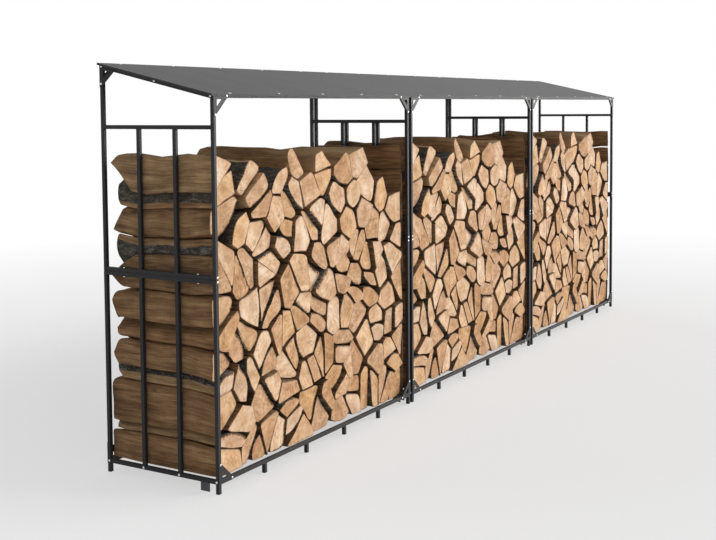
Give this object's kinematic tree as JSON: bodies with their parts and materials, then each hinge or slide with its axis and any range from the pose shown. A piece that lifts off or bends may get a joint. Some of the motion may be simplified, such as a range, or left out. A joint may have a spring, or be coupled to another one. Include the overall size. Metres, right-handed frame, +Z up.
{
  "type": "log store",
  "caption": "Long open steel tube log store in a row of bays, with upright side bars, a thin sloping roof and a pile of split firewood in each bay.",
  "frame": {"origin": "on the ground at the middle of the whole row", "axes": "+X to the right along the row seen from the front, the open front faces -Y, +Z up"},
  "size_m": [5.835, 0.72, 2.0696],
  "materials": {
    "frame_paint": "satin powder coat",
    "roof_paint": "matt powder coat",
    "foot_plastic": "matt",
    "split_wood": "rough split",
    "zinc": "bright zinc"
  },
  "bodies": {
    "root": {"bay_1_left_lower_frame": "frame_paint", "bay_1_right_lower_frame": "frame_paint", "bay_1_left_upper_frame": "frame_paint", "bay_1_right_upper_frame": "frame_paint", "bay_1_left_rafter": "frame_paint", "bay_1_right_rafter": "frame_paint", "bay_1_front_base_rail": "frame_paint", "bay_1_rear_base_rail": "frame_paint", "bay_1_front_top_rail": "frame_paint", "bay_1_rear_top_rail": "frame_paint", "bay_1_corner_plates": "frame_paint", "bay_1_foot_caps": "foot_plastic", "bay_1_roof_sheet": "roof_paint", "bay_1_logs": "split_wood", "bay_2_left_lower_frame": "frame_paint", "bay_2_right_lower_frame": "frame_paint", "bay_2_left_upper_frame": "frame_paint", "bay_2_right_upper_frame": "frame_paint", "bay_2_left_rafter": "frame_paint", "bay_2_right_rafter": "frame_paint", "bay_2_front_base_rail": "frame_paint", "bay_2_rear_base_rail": "frame_paint", "bay_2_front_top_rail": "frame_paint", "bay_2_rear_top_rail": "frame_paint", "bay_2_corner_plates": "frame_paint", "bay_2_foot_caps": "foot_plastic", "bay_2_roof_sheet": "roof_paint", "bay_2_logs": "split_wood", "bay_3_left_lower_frame": "frame_paint", "bay_3_right_lower_frame": "frame_paint", "bay_3_left_upper_frame": "frame_paint", "bay_3_right_upper_frame": "frame_paint", "bay_3_left_rafter": "frame_paint", "bay_3_right_rafter": "frame_paint", "bay_3_front_base_rail": "frame_paint", "bay_3_rear_base_rail": "frame_paint", "bay_3_front_top_rail": "frame_paint", "bay_3_rear_top_rail": "frame_paint", "bay_3_corner_plates": "frame_paint", "bay_3_foot_caps": "foot_plastic", "bay_3_roof_sheet": "roof_paint", "bay_3_logs": "split_wood"}
  },
  "joints": []
}
